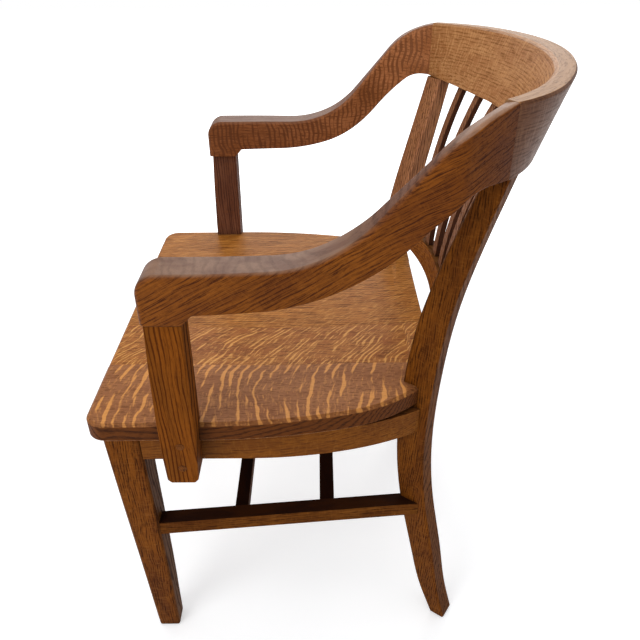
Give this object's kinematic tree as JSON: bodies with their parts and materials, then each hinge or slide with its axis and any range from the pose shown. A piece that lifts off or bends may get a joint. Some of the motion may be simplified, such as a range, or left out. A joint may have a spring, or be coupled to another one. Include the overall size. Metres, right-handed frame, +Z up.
{
  "type": "office armchair",
  "caption": "Fixed four-legged wooden office armchair with a dished plank seat, sweeping arms that run into a bent crest rail, a slatted curved back and stretchers between the legs",
  "frame": {"origin": "On the floor under the middle of the chair's bounding box", "axes": "+Z up, the sitter faces -Y, the sitter's left is +X"},
  "size_m": [0.584, 0.5902, 0.821],
  "materials": {
    "oak_seat": "satin varnish over quartersawn oak",
    "oak_frame": "satin varnish over oak",
    "oak_arm": "satin varnish over oak, worn pale on top",
    "oak_crest": "satin varnish over quartersawn oak",
    "oak_slat": "satin varnish over oak",
    "oak_plug": "oak dowel",
    "steel_screw": "plain steel"
  },
  "bodies": {
    "root": {"arm_left": "oak_arm", "arm_post_left": "oak_arm", "arm_post_plug_left_lower": "oak_plug", "arm_post_plug_left_upper": "oak_plug", "arm_post_plug_right_lower": "oak_plug", "arm_post_plug_right_upper": "oak_plug", "arm_post_right": "oak_arm", "arm_post_screw_left_lower": "steel_screw", "arm_post_screw_left_upper": "steel_screw", "arm_post_screw_right_lower": "steel_screw", "arm_post_screw_right_upper": "steel_screw", "arm_right": "oak_arm", "back_post_left": "oak_frame", "back_post_right": "oak_frame", "back_rail": "oak_frame", "back_slat_1": "oak_slat", "back_slat_2": "oak_slat", "back_slat_3": "oak_slat", "back_slat_4": "oak_slat", "back_slat_5": "oak_slat", "back_slat_6": "oak_slat", "back_slat_7": "oak_slat", "corner_block_back_left": "oak_frame", "corner_block_back_right": "oak_frame", "corner_block_front_left": "oak_frame", "corner_block_front_right": "oak_frame", "crest_rail": "oak_crest", "crest_tongue_left": "oak_plug", "crest_tongue_right": "oak_plug", "cross_stretcher_front": "oak_frame", "cross_stretcher_rear": "oak_frame", "front_leg_left": "oak_frame", "front_leg_right": "oak_frame", "front_rail": "oak_frame", "lower_back_rail": "oak_crest", "seat_board_1": "oak_seat", "seat_board_2": "oak_seat", "seat_board_3": "oak_seat", "seat_board_4": "oak_seat", "seat_board_5": "oak_seat", "seat_board_6": "oak_seat", "seat_board_7": "oak_seat", "side_rail_left": "oak_frame", "side_rail_right": "oak_frame", "side_stretcher_left": "oak_frame", "side_stretcher_right": "oak_frame"}
  },
  "joints": []
}
